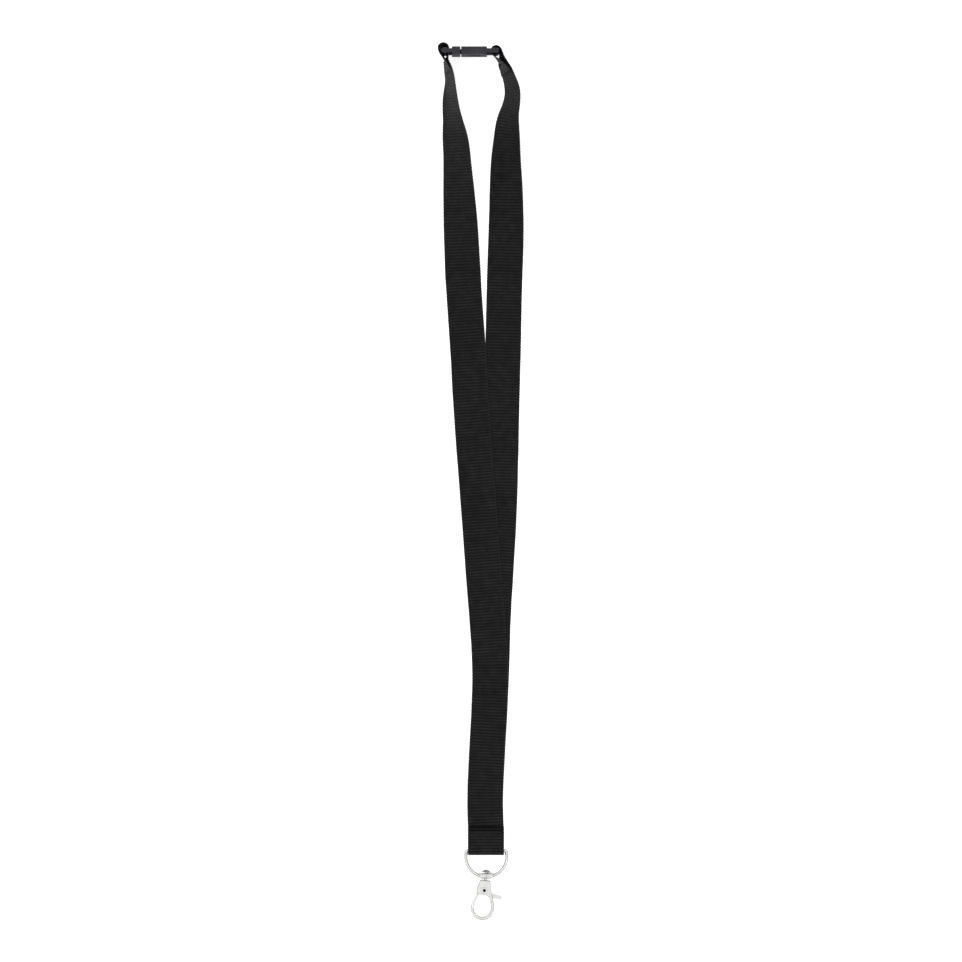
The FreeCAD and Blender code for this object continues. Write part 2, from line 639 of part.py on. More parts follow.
def main():
    parts = ribbons() + stitching()
    parts += [buckle_female(), buckle_male(), d_ring(), swivel_post(), hook_body(), trigger_lever(), pivot_rivet(),
              trigger_spring()]
    DOC.recompute()
    for thing in DOC.Objects:
        if "Invalid" in thing.State or "Error" in thing.State:
            raise RuntimeError(f"{thing.Label} did not build: {thing.State}")
    os.makedirs("parts", exist_ok=True)
    whole = FreeCAD.BoundBox()
    for part in parts:
        shape = part.Shape
        if shape.isNull() or not shape.isValid() or not shape.Solids:
            raise RuntimeError(f"{part.Label} has no valid solid")
        box = shape.BoundBox
        whole.add(box)
        print("%-22s solids %d  volume %9.2f  x %8.2f %8.2f  y %8.2f %8.2f  z %6.2f %6.2f" % (
            part.Label, len(shape.Solids), shape.Volume, box.XMin, box.XMax, box.YMin, box.YMax, box.ZMin, box.ZMax))
    for part in parts:
        part.Shape.exportStep(f"parts/{part.Label}.step")
    print("whole object x %.2f %.2f  y %.2f %.2f  z %.2f %.2f" % (
        whole.XMin, whole.XMax, whole.YMin, whole.YMax, whole.ZMin, whole.ZMax))


main()
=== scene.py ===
import math

import bmesh
import bpy
import numpy as np
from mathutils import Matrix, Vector, noise


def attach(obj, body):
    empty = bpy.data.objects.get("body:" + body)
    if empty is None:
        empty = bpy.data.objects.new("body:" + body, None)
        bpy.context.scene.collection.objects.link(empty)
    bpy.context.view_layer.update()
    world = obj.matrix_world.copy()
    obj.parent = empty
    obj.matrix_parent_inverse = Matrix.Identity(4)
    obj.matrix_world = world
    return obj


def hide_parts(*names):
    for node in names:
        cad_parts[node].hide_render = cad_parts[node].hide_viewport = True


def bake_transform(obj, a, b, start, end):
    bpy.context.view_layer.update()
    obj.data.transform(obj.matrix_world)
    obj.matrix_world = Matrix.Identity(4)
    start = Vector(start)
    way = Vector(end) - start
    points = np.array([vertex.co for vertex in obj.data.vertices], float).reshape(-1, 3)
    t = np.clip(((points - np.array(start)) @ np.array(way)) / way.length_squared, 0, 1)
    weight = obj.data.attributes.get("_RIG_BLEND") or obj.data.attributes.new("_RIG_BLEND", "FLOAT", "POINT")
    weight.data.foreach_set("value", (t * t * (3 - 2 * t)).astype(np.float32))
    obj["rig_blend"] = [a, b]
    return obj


# The looks of a ribbon lanyard that lies on a pale floor, seen from straight above, in the frame of the
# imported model. Blender works in metres. Routes and ribbon sizes are in millimetres, and times MM they are
# metres.

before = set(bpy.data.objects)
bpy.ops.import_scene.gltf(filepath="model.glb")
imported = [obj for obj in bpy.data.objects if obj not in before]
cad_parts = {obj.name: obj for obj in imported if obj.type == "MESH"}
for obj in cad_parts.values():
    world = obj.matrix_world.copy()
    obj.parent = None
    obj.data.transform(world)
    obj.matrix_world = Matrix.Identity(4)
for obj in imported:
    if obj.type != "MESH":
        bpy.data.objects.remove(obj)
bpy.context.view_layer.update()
MM = 0.001

# The ribbon: its width, its thickness, the distance between two ribs, and the mesh rows for each rib.
WIDTH = 20.0
THICK = 0.7
RIB_PITCH = 1.675
ROWS_PER_RIB = 5


def add_object(name, data):
    """Puts a new object with this data into the scene."""
    thing = bpy.data.objects.new(name, data)
    bpy.context.scene.collection.objects.link(thing)
    return thing


def set_stops(ramp, stops):
    """Gives a colour ramp node its stops: each one a position from 0 to 1, and a grey or a colour."""
    elements = ramp.color_ramp.elements
    while len(elements) < len(stops):
        elements.new(0.5)
    for element, (position, colour) in zip(elements, stops):
        element.position = position
        grey = isinstance(colour, (int, float))
        element.color = (colour, colour, colour, 1) if grey else (*colour, 1)


# ---------------------------------------------------------------- camera, floor, light

VIEW_WIDTH = 541.6 * MM
VIEW_MIDDLE_Y = 0.3 * MM
MEAN_HEIGHT = 3 * MM
LENS = 200.0
SENSOR_WIDTH = 36.0
# The grey of the studio's dome, from the horizon at 0 to straight above at 1.
DOME_STOPS = [(0.0, 0.8), (0.1, 0.6), (0.25, 0.32), (0.6, 0.5), (0.85, 1.15), (1.0, 1.25)]
DOME_BLUE = 1.01
SOFTBOX_X = 1.0
SOFTBOX_Y = 0.8
SOFTBOX_Z = 1.7
SOFTBOX_SIZE = 0.7
SOFTBOX_POWER = 2.0
FLOOR_SIZE = 60.0
FLOOR_Z = -0.02 * MM
FLOOR_GLOW = 0.68


def make_camera():
    """A long lens straight above the object, so that it shows the lanyard almost without perspective."""
    data = bpy.data.cameras.new("camera")
    data.sensor_width = SENSOR_WIDTH
    data.lens = LENS
    camera = add_object("camera", data)
    camera.location = (0.0, VIEW_MIDDLE_Y, MEAN_HEIGHT + VIEW_WIDTH * LENS / SENSOR_WIDTH)
    bpy.context.scene.camera = camera


def make_softboxes():
    """Four weak softboxes at the corners of a rectangle high above the object, turned towards it."""
    for number, (x, y) in enumerate(((-1, 1), (1, 1), (-1, -1), (1, -1))):
        data = bpy.data.lights.new(f"softbox_{number}", "AREA")
        data.shape = "SQUARE"
        data.size = SOFTBOX_SIZE
        data.energy = SOFTBOX_POWER
        lamp = add_object(f"softbox_{number}", data)
        lamp.location = (x * SOFTBOX_X, y * SOFTBOX_Y, SOFTBOX_Z)
        lamp.rotation_euler = (-lamp.location).to_track_quat("-Z", "Y").to_euler()


def make_world():
    """A pale studio: a bright ceiling, a dimmer ring of wall below it, and a pale horizon."""
    world = bpy.data.worlds.new("studio")
    world.use_nodes = True
    nodes, links = world.node_tree.nodes, world.node_tree.links
    place = nodes.new("ShaderNodeTexCoord")
    split = nodes.new("ShaderNodeSeparateXYZ")
    ramp = nodes.new("ShaderNodeValToRGB")
    set_stops(ramp, [(position, (grey, grey, grey * DOME_BLUE)) for position, grey in DOME_STOPS])
    links.new(place.outputs["Generated"], split.inputs[0])
    links.new(split.outputs["Z"], ramp.inputs["Fac"])
    links.new(ramp.outputs["Color"], nodes["Background"].inputs["Color"])
    nodes["Background"].inputs["Strength"].default_value = 1.0
    bpy.context.scene.world = world
    bpy.context.scene.view_settings.view_transform = "Standard"


def make_floor():
    bpy.ops.mesh.primitive_plane_add(size=FLOOR_SIZE, location=(0, 0, FLOOR_Z))
    floor = bpy.context.object
    floor.name = "floor"
    floor.data.materials.append(floor_material())


# ---------------------------------------------------------------- materials

class Shader:
    """A principled material whose colour, roughness and bump can be fed by nodes."""

    def __init__(self, name, **fixed):
        self.material = bpy.data.materials.new(name)
        self.material.use_nodes = True
        self.tree = self.material.node_tree
        self.shader = self.tree.nodes["Principled BSDF"]
        for socket, value in fixed.items():
            self.shader.inputs[socket.replace("_", " ")].default_value = value

    def add(self, kind, **values):
        node = self.tree.nodes.new(kind)
        for key, value in values.items():
            if key in node.inputs:
                node.inputs[key].default_value = value
            else:
                setattr(node, key, value)
        return node

    def link(self, out, into):
        self.tree.links.new(out, into)

    def place(self):
        return self.add("ShaderNodeTexCoord").outputs["Object"]

    def attribute(self, name):
        return self.add("ShaderNodeAttribute", attribute_name=name).outputs["Vector"]

    def noise(self, vector, scale, detail=4.0, roughness=0.55):
        node = self.add("ShaderNodeTexNoise", Scale=scale, Detail=detail, Roughness=roughness)
        self.link(vector, node.inputs["Vector"])
        return node.outputs["Fac"]

    def stretch(self, vector, scale):
        node = self.add("ShaderNodeMapping")
        node.inputs["Scale"].default_value = scale
        self.link(vector, node.inputs["Vector"])
        return node.outputs["Vector"]

    def maths(self, operation, *values):
        node = self.add("ShaderNodeMath", operation=operation)
        for socket, value in zip(node.inputs, values):
            if isinstance(value, (int, float)):
                socket.default_value = value
            else:
                self.link(value, socket)
        return node.outputs[0]

    def total(self, *layers):
        """The sum of some values, each times its weight."""
        parts = [self.maths("MULTIPLY", value, weight) for value, weight in layers]
        result = parts[0]
        for part in parts[1:]:
            result = self.maths("ADD", result, part)
        return result

    def ramp(self, value, *stops):
        node = self.add("ShaderNodeValToRGB")
        set_stops(node, sorted(stops))
        self.link(value, node.inputs["Fac"])
        return node.outputs["Color"]

    def bump(self, height, distance, strength=1.0, below=None):
        node = self.add("ShaderNodeBump", Distance=distance, Strength=strength)
        self.link(height, node.inputs["Height"])
        if below is not None:
            self.link(below, node.inputs["Normal"])
        return node.outputs["Normal"]

    def into(self, **outputs):
        for socket, out in outputs.items():
            self.link(out, self.shader.inputs[socket.replace("_", " ")])
        return self.material


YARN_PITCH = 0.34
PICKS_PER_RIB = 4


def floor_material():
    """Pale paper that gives a little light of its own, as a light table does."""
    paper = Shader("floor_paper", Roughness=0.9, Emission_Color=(1.0, 1.0, 1.0, 1.0),
                   Emission_Strength=FLOOR_GLOW)
    grain = paper.noise(paper.place(), 60.0)
    return paper.into(Base_Color=paper.ramp(grain, (0.3, 0.9), (0.7, 0.93)))


def ribbon_material():
    """Black polyester grosgrain. The mesh carries its own weave coordinates: x across the ribbon in
    millimetres, y along it in ribs, z the height of the rib, lowered where shadow lines are painted and
    raised at the paler selvedges. The colour paints shade into the grooves between the ribs, darker where z
    is lower."""
    cloth = Shader("ribbon_grosgrain", Sheen_Weight=0.02, Sheen_Roughness=0.4, Specular_IOR_Level=0.08)
    weave = cloth.attribute("weave")
    split = cloth.add("ShaderNodeSeparateXYZ")
    cloth.link(weave, split.inputs[0])
    across, along, rib = split.outputs
    warp = cloth.maths("SINE", cloth.maths("MULTIPLY", across, 2 * math.pi / YARN_PITCH))
    filling = cloth.maths("SINE", cloth.maths("MULTIPLY", along, 2 * math.pi * PICKS_PER_RIB))
    thread = cloth.maths("MULTIPLY", warp, cloth.maths("ADD", cloth.maths("MULTIPLY", filling, 0.35), 0.75))
    streaks = cloth.noise(cloth.stretch(weave, (5.0, 0.35, 0.0)), 1.0, 5.0)
    cloudy = cloth.noise(cloth.stretch(weave, (0.06, 0.05, 0.0)), 1.0, 3.0)
    patchy = cloth.noise(cloth.stretch(weave, (0.22, 0.35, 0.0)), 1.0, 2.0)
    # Painted shade: the grooves between the ribs are coloured darker, more in some patches than in others,
    # and so are the painted shadow lines at cuts and stitch rows. The tone mixes this painted shade with the
    # cloth's own streaks, clouds and threads.
    groove_shade = cloth.maths("MULTIPLY", rib, cloth.maths("ADD", cloth.maths("MULTIPLY", patchy, 0.7), 0.12))
    tone_and_shade = cloth.total((groove_shade, 1.0), (streaks, 0.35), (cloudy, 0.25), (thread, 0.07))
    colour = cloth.ramp(tone_and_shade, (0.0, (0.0008, 0.0008, 0.0009)), (0.5, (0.0085, 0.0084, 0.009)),
                        (1.0, (0.031, 0.0305, 0.0325)))
    normal = cloth.bump(thread, 0.05 * MM, 0.8)
    normal = cloth.bump(streaks, 0.08 * MM, 0.6, normal)
    rough = cloth.ramp(streaks, (0.3, 0.55), (0.7, 0.75))
    return cloth.into(Base_Color=colour, Roughness=rough, Normal=normal)


def thread_material():
    """Black sewing thread whose plies run diagonally round it."""
    thread = Shader("sewing_thread", Specular_IOR_Level=0.1)
    weave = thread.attribute("weave")
    wave = thread.add("ShaderNodeTexWave", Scale=0.32, Distortion=0.4)
    wave.bands_direction = "DIAGONAL"
    thread.link(weave, wave.inputs["Vector"])
    plies = wave.outputs["Fac"]
    return thread.into(Base_Color=thread.ramp(plies, (0.2, 0.0004), (0.8, 0.003)),
                       Roughness=thread.ramp(plies, (0.0, 0.85), (1.0, 0.65)),
                       Normal=thread.bump(plies, 0.08 * MM))


def plastic_material():
    """Black moulded acetal, rather matt, with a faint mould texture and fine scuffs."""
    plastic = Shader("buckle_acetal", Specular_IOR_Level=0.06)
    place = plastic.place()
    fine = plastic.noise(place, 2600.0, 3.0)
    flow = plastic.noise(plastic.stretch(place, (1.0, 0.35, 1.0)), 90.0, 3.0)
    scuffs = plastic.noise(plastic.stretch(place, (30.0, 400.0, 400.0)), 1.0, 6.0, 0.7)
    colour = plastic.ramp(flow, (0.3, (0.040, 0.040, 0.046)), (0.75, (0.052, 0.052, 0.060)))
    rough = plastic.ramp(plastic.total((scuffs, 0.6), (fine, 0.4)), (0.35, 0.55), (0.7, 0.75))
    normal = plastic.bump(flow, 0.06 * MM, 0.5)
    normal = plastic.bump(fine, 0.012 * MM, 0.7, normal)
    return plastic.into(Base_Color=colour, Roughness=rough, Normal=normal)


def nickel_material():
    """Bright nickel plate over cast zinc: a soft mirror with slight waves, tiny pits and fine scratches."""
    nickel = Shader("nickel_plate", Metallic=1.0)
    place = nickel.place()
    waves = nickel.noise(place, 260.0, 2.0)
    pits = nickel.noise(place, 2400.0, 5.0, 0.7)
    hairs = nickel.noise(nickel.stretch(place, (250.0, 2600.0, 900.0)), 1.0, 5.0, 0.75)
    colour = nickel.ramp(waves, (0.3, (0.59, 0.59, 0.575)), (0.7, (0.66, 0.66, 0.645)))
    rough = nickel.ramp(nickel.total((hairs, 0.6), (pits, 0.4)), (0.35, 0.10), (0.72, 0.26))
    normal = nickel.bump(waves, 0.06 * MM, 0.6)
    normal = nickel.bump(pits, 0.006 * MM, 0.5, normal)
    return nickel.into(Base_Color=colour, Roughness=rough, Normal=normal)


def spring_material():
    steel = Shader("spring_wire", Metallic=1.0)
    drawn = steel.noise(steel.place(), 1800.0, 4.0)
    return steel.into(Base_Color=steel.ramp(drawn, (0.3, 0.42), (0.7, 0.6)),
                      Roughness=steel.ramp(drawn, (0.3, 0.28), (0.7, 0.45)))


# ---------------------------------------------------------------- ribbon routes
# Each row is a point of the ribbon's middle line: x, y, lift, twist, in millimetres and degrees. Lift is the
# height of the ribbon's lower edge above the floor, and twist is 0 where it lies flat and 90 where it stands
# on edge. Both routes run from the cut end of the top loop, round the loop and down to the ring.

LEFT_ROUTE = [
    (-18.9, 229.6, 1.4, 76), (-19.4, 233.0, 1.7, 80), (-20.4, 236.4, 1.9, 86), (-22.2, 239.3, 2.0, 90),
    (-23.5, 241.9, 2.0, 90), (-23.5, 243.8, 2.0, 90), (-22.1, 245.05, 2.0, 90), (-20.0, 245.05, 2.0, 90),
    (-18.6, 243.7, 2.0, 90), (-18.6, 241.9, 2.0, 90), (-18.75, 239.2, 2.0, 90), (-19.6, 236.3, 1.9, 86),
    (-18.6, 232.6, 1.7, 80), (-17.75, 228.4, 1.3, 75.5), (-17.2, 223.6, 1.0, 74), (-17.0, 217.0, 0.6, 69),
    (-16.6, 210.0, 0.3, 64.5), (-15.5, 203.0, 0.1, 59), (-14.6, 197.0, 0.05, 51), (-13.9, 190.0, 0.05, 43.5),
    (-13.3, 180.0, 0.05, 39), (-12.5, 165.0, 0.05, 29), (-11.7, 150.0, 0.05, 20), (-10.9, 133.0, 0.05, 9),
    (-10.1, 115.0, 0.2, 1.5), (-9.0, 98.0, 0.6, 0), (-7.4, 76.0, 0.8, 0), (-6.0, 48.0, 0.78, 0),
    (-3.7, 16.0, 0.78, 0), (-1.1, -17.0, 0.78, 0), (1.4, -52.0, 0.78, 0), (4.0, -84.0, 0.78, 0),
    (5.3, -106.0, 0.78, 0), (4.5, -131.0, 0.78, 0), (3.0, -157.0, 0.9, 0), (2.2, -178.0, 1.6, 0),
    (2.5, -190.0, 2.3, 0), (2.8, -196.1, 2.4, 0), (2.8, -201.5, 2.0, 0),
]
RIGHT_ROUTE = [
    (13.6, 228.9, 1.2, 73), (12.9, 232.2, 1.5, 76), (11.2, 235.2, 1.7, 82), (8.6, 237.7, 1.95, 88),
    (6.9, 239.4, 2.0, 90), (6.1, 241.1, 2.0, 90), (6.45, 242.6, 2.0, 90), (7.9, 243.6, 2.0, 90),
    (9.7, 243.4, 2.0, 90), (10.9, 241.9, 2.0, 90), (11.6, 239.8, 2.0, 90), (12.2, 237.3, 1.8, 85),
    (13.0, 234.2, 1.6, 78), (14.4, 231.0, 1.2, 74), (15.9, 226.7, 0.9, 70), (17.3, 222.1, 0.7, 66.5),
    (17.85, 217.6, 0.5, 64.8), (17.2, 212.2, 0.3, 61.5), (15.7, 206.3, 0.15, 56), (14.8, 200.0, 0.0, 48.5),
    (14.5, 192.0, 0.0, 42.5), (14.0, 181.0, 0.0, 33.5), (14.2, 168.0, 0.0, 24), (14.3, 153.0, 0.0, 15.5),
    (14.1, 137.0, 0.0, 6), (13.5, 120.0, 0.0, 0), (12.9, 98.0, 0.0, 0), (12.4, 70.0, 0.0, 0),
    (11.6, 42.0, 0.0, 0), (11.1, 14.0, 0.0, 0), (10.3, -16.0, 0.0, 0), (8.5, -48.0, 0.0, 0),
    (6.7, -76.0, 0.0, 0), (6.1, -102.0, 0.0, 0), (5.0, -128.0, 0.0, 0), (3.4, -155.0, 0.1, 0),
    (2.3, -178.0, 0.85, 0), (2.5, -190.0, 1.58, 0), (2.8, -196.1, 1.68, 0), (2.8, -201.5, 1.25, 0),
]
# The straight bar of the D-ring, which both ribbons fold round: its x, and its y and z.
FOLD_X = 2.8
RING_BAR = (-207.75, 3.3)
LEFT_FOLD_RADIUS = 1.5
RIGHT_FOLD_RADIUS = 2.22
FOLD_STEP = 45.0
FOLD_ROWS = 6
LEFT_TAIL = [(FOLD_X, -202.2, 3.75, 0), (FOLD_X, -197.6, 3.14, 0), (FOLD_X, -194.6, 3.14, 0)]
RIGHT_TAIL = [(FOLD_X, -202.2, 4.47, 0), (FOLD_X, -197.6, 3.86, 0), (FOLD_X, -194.2, 3.86, 0)]


def fold_round_ring(radius):
    """Route rows that take a ribbon round the ring's straight bar, from under it to over it."""
    corner = radius / math.cos(math.radians(FOLD_STEP / 2))
    turns = [math.radians(-1.5 * FOLD_STEP - FOLD_STEP * k) for k in range(FOLD_ROWS)]
    return [(FOLD_X, RING_BAR[0] + corner * math.cos(a), RING_BAR[1] + corner * math.sin(a) - THICK / 2, 0.0)
            for a in turns]


def middle_point(row):
    x, y, lift, twist = row
    turn = math.radians(twist)
    return x, y, lift + WIDTH / 2 * math.sin(turn) + THICK / 2 * math.cos(turn)


def spline_line(points):
    """Points read from the NURBS line that has these control points."""
    curve = bpy.data.curves.new("route", "CURVE")
    curve.dimensions = "3D"
    spline = curve.splines.new("NURBS")
    spline.points.add(len(points) - 1)
    for target, point in zip(spline.points, points):
        target.co = (*point, 1.0)
    spline.order_u = 3
    spline.use_endpoint_u = True
    spline.resolution_u = 48
    holder = bpy.data.objects.new("route", curve)
    mesh = bpy.data.meshes.new_from_object(holder)
    line = np.array([v.co[:] for v in mesh.vertices])
    bpy.data.meshes.remove(mesh)
    bpy.data.objects.remove(holder)
    return line


def unit(rows):
    return rows / np.linalg.norm(rows, axis=1)[:, None]


class Path:
    """A ribbon's middle line in evenly spaced rows, with its directions along, across and out of the face."""

    def __init__(self, route):
        line = spline_line([middle_point(row) for row in route])
        carried = spline_line([(row[3], row[2], 0.0) for row in route])
        steps = np.linalg.norm(np.diff(line, axis=0), axis=1)
        travelled = np.concatenate([[0.0], np.cumsum(steps)])
        self.length = travelled[-1]
        rows = round(self.length / RIB_PITCH * ROWS_PER_RIB)
        self.at = np.linspace(0.0, self.length, rows + 1)
        self.centre = np.stack([np.interp(self.at, travelled, line[:, k]) for k in range(3)], axis=1)
        self.lift = np.interp(self.at, travelled, carried[:, 1])
        turn = np.radians(np.interp(self.at, travelled, carried[:, 0]))
        self.along = unit(np.gradient(self.centre, axis=0))
        level = np.stack([np.cos(turn), np.zeros_like(turn), np.sin(turn)], axis=1)
        self.across = unit(level - self.along * np.sum(level * self.along, axis=1)[:, None])
        self.face = np.cross(self.along, self.across)


# ---------------------------------------------------------------- ribbons

# Columns of the mesh across the ribbon, from one selvedge to the other, closer together near the selvedges.
ACROSS = np.array([-1.0, -0.988, -0.965, -0.93, -0.85, -0.7, -0.5, -0.25, 0.0,
                   0.25, 0.5, 0.7, 0.85, 0.93, 0.965, 0.988, 1.0])
HALF_WIDTH = WIDTH / 2
SELVEDGE_WAVE = 0.17
SELVEDGE_WOBBLE = 0.08
WOBBLE_LENGTH = 9.0
SELVEDGE_PALER = 0.9
SELVEDGE_FROM = 0.95
SELVEDGE_FADE = 0.045
EDGE_POWER = 60
GROOVE_HALF = 0.22
RIB_HALF = 0.15
RIB_UNEVEN = 0.25
UNEVEN_LENGTH = 2.2
# The sewn end spreads a little: by how much, from how far before the cut, and over what length.
SEWN_SPREAD = 0.12
SPREAD_FROM = 26.0
SPREAD_FADE = 14.0
# The lean fades out LEAN_REACH from the top of the loop, where it turns from one wall to the other.
LEAN_REACH = 21.0
LEAN_FADE = 11.0
LEAN_TURN = 6.0
RIPPLE_FADE = 30.0
# Moves the weave pattern of the back away from that of the front.
BACK_SHIFT = 40.0
# How far the stitch rows are from the cut ends: the bottom one, and those of the loops.
BOTTOM_SEAM = 2.0
LOOP_SEAM = 6.0
# The last stretch of each ribbon, which holds the fold round the ring and the tail.
FOLDED_LENGTH = 30.0


def rib_height(at):
    """1 on top of a rib and 0 in the groove between two."""
    return (0.5 + 0.5 * np.cos(2 * np.pi * at / RIB_PITCH)) ** 0.6


def soft_noise(x, y, z=0.0):
    return noise.noise((float(x), float(y), float(z)))


def smooth(t):
    t = np.clip(t, 0.0, 1.0)
    return t * t * (3 - 2 * t)


def fade_from(distance, reach):
    """1 at a cut end, falling to 0 where the distance from it is reach."""
    return np.clip(1.0 - distance / reach, 0.0, 1.0) ** 2


class Ribbon:
    """Rows of points on the two faces of a woven ribbon: ribs across it, and scalloped selvedges."""

    def __init__(self, route, seed):
        self.path = Path(route)
        self.seed = seed
        path = self.path
        rows, columns = len(path.at), len(ACROSS)
        rib = rib_height(path.at)
        wobble = np.array([soft_noise(s / WOBBLE_LENGTH, seed, 0.3) for s in path.at])
        selvedge = HALF_WIDTH + SELVEDGE_WAVE * (rib - 0.5) + SELVEDGE_WOBBLE * wobble
        selvedge += SEWN_SPREAD * smooth((path.at - path.length + SPREAD_FROM) / SPREAD_FADE)
        self.side = np.outer(selvedge, ACROSS)
        rounding = np.sqrt(np.clip(1.0 - np.abs(ACROSS) ** EDGE_POWER, 0.0, 1.0))
        uneven = np.array([[1.0 + RIB_UNEVEN * soft_noise(s / UNEVEN_LENGTH, v * 2.5, seed) for v in ACROSS]
                           for s in path.at])
        self.half = (GROOVE_HALF + RIB_HALF * rib[:, None] * uneven) * rounding[None, :]
        self.raise_face = np.zeros((rows, columns))
        self.slide = np.zeros((rows, columns))
        self.drop = np.zeros((rows, columns))
        self.lean_by = np.zeros((rows, columns, 3))
        # The rib height of each row. The colour also uses it to paint shade into the grooves, and painted
        # shadow lines at cuts and stitch rows are taken off it later.
        self.rib = rib

    def top_row(self):
        """The row at the top of the loop, which is in the first quarter of the ribbon."""
        return int(np.argmax(self.path.centre[: len(self.path.at) // 4, 1]))

    def between(self, start, end, fade_in, fade_out):
        """1 between two places along the ribbon, falling to 0 at each of them."""
        return smooth((self.path.at - start) / fade_in) * smooth((end - self.path.at) / fade_out)

    def pinch(self, at, depth, spread):
        """Presses both faces in along a stitch row, and less where the ribbon is thinner than the dent."""
        dent = depth * np.exp(-((self.path.at - at) / spread) ** 2)
        self.half = np.maximum(self.half - dent[:, None] * np.minimum(1.0, self.half / depth), 0.0)

    def skew_start(self, amount, reach):
        """A crooked cut: one edge of the start runs further out than the other."""
        self.slide += fade_from(self.path.at, reach)[:, None] * amount * ACROSS[None, :]

    def wavy_end(self, amount, reach):
        """An uneven cut at the end, slightly longer on one side."""
        weight = fade_from(self.path.length - self.path.at, reach)
        waves = np.array([amount * (soft_noise(v * 2.6, self.seed, 7.0) * 1.6 - 0.25 * v) for v in ACROSS])
        self.slide += weight[:, None] * waves[None, :]

    def curl_start(self, amount, reach):
        """Lifts the first stretch of the ribbon out of its plane, its edges most."""
        bow = 0.5 + 0.5 * np.abs(ACROSS) ** 2
        self.raise_face += fade_from(self.path.at, reach)[:, None] * amount * bow[None, :]

    def lean(self, high, tail_low, leg_low):
        """Shifts the upper edge outwards and the lower edges of the two walls of the loop inwards."""
        path = self.path
        top = self.top_row()
        near = smooth((LEAN_REACH - np.abs(path.at - path.at[top])) / LEAN_FADE)
        before = smooth((path.at[top] - path.at) / LEAN_TURN + 0.5)
        low = tail_low * before + leg_low * (1.0 - before)
        out = path.face * [1.0, 1.0, 0.0]
        out *= np.sign(out[top, 1])
        shift = np.where(ACROSS[None, :] > 0, high, low[:, None]) * ACROSS[None, :]
        self.lean_by = (near[:, None] * shift)[:, :, None] * out[:, None, :]

    def paint_shade_line(self, at, spread, depth):
        """Paints the weave darker along a line across the ribbon: a painted shadow where a cut edge stands
        up, or painted shade in the dent of a pulled-in stitch row.
        """
        self.rib = self.rib - depth * np.exp(-((self.path.at - at) / spread) ** 2)

    def curl_low_edge(self, start, end, reach, height):
        """Turns the lower edge outwards into a lip between two places along the ribbon."""
        fade = self.between(start, end, fade_in=12.0, fade_out=16.0)
        low = np.clip((-ACROSS - (1.0 - reach)) / reach, 0.0, 1.0) ** 1.3
        self.raise_face += fade[:, None] * height * low[None, :]

    def ripple(self, amount, wave, start, end):
        """Gentle low waves between two places along the ribbon."""
        fade = self.between(start, end, RIPPLE_FADE, RIPPLE_FADE)
        heights = np.array([[abs(soft_noise(s / wave, v * 0.8, self.seed + 3.0)) for v in ACROSS]
                            for s in self.path.at])
        self.raise_face += amount * fade[:, None] * heights

    def points(self):
        """Two arrays of points, one for each face."""
        path = self.path
        middle = (path.centre[:, None, :] + path.across[:, None, :] * self.side[:, :, None]
                  + path.face[:, None, :] * self.raise_face[:, :, None]
                  + path.along[:, None, :] * self.slide[:, :, None])
        middle[:, :, 2] -= self.drop
        middle += self.lean_by
        out = path.face[:, None, :] * self.half[:, :, None]
        return middle + out, middle - out

    def faces(self, size):
        """Quads between the rows, each of size points round the ribbon, and quads that close the two ends."""
        rows, columns = self.half.shape
        faces = []
        for r in range(rows - 1):
            for k in range(size):
                n = (k + 1) % size
                faces.append((r * size + k, r * size + n, (r + 1) * size + n, (r + 1) * size + k))
        for r in (0, rows - 1):
            base = r * size
            for k in range(columns - 1):
                upper = (base + k, base + k + 1)
                lower = (base + (size - k - 1) % size, base + (size - k) % size)
                if r == 0:
                    quad = (upper[0], lower[1], lower[0], upper[1])
                else:
                    quad = (upper[0], upper[1], lower[0], lower[1])
                faces.append(tuple(dict.fromkeys(quad)))
        return faces

    def weave(self, size):
        """The weave coordinates of each point, which ribbon_material reads."""
        sides = np.concatenate([self.side, self.side[:, -2:0:-1] + BACK_SHIFT], axis=1)
        along = np.repeat(self.path.at[:, None] / RIB_PITCH, size, axis=1)
        # z: the rib height with its painted shade lines, which the colour turns into painted groove shade,
        # plus paler selvedges.
        ribs = np.repeat(self.rib[:, None], size, axis=1)
        outermost = np.abs(np.concatenate([ACROSS, ACROSS[-2:0:-1]])) - SELVEDGE_FROM
        ribs += SELVEDGE_PALER * smooth(outermost / SELVEDGE_FADE)[None, :]
        return np.stack([sides, along, ribs], axis=2)

    def build(self, name, material):
        front, back = self.points()
        loop = np.concatenate([front, back[:, -2:0:-1, :]], axis=1)
        size = loop.shape[1]
        vertices = loop.reshape(-1, 3) * MM
        piece = woven_piece(name, vertices.tolist(), self.faces(size), self.weave(size), material)
        return piece


def woven_piece(name, vertices, faces, weave, material):
    """A closed piece whose points carry weave coordinates."""
    mesh = bpy.data.meshes.new(name)
    mesh.from_pydata(vertices, [], faces)
    mesh.validate()
    mesh.polygons.foreach_set("use_smooth", [True] * len(mesh.polygons))
    coordinates = mesh.attributes.new("weave", "FLOAT_VECTOR", "POINT")
    coordinates.data.foreach_set("vector", np.array(weave, np.float32).ravel())
    mesh.materials.append(material)
    piece = add_object(name, mesh)
    turn_outward(piece)
    return piece


def turn_outward(piece):
    """Points every face of a closed piece outwards."""
    work = bmesh.new()
    work.from_mesh(piece.data)
    bmesh.ops.recalc_face_normals(work, faces=work.faces)
    work.to_mesh(piece.data)
    work.free()


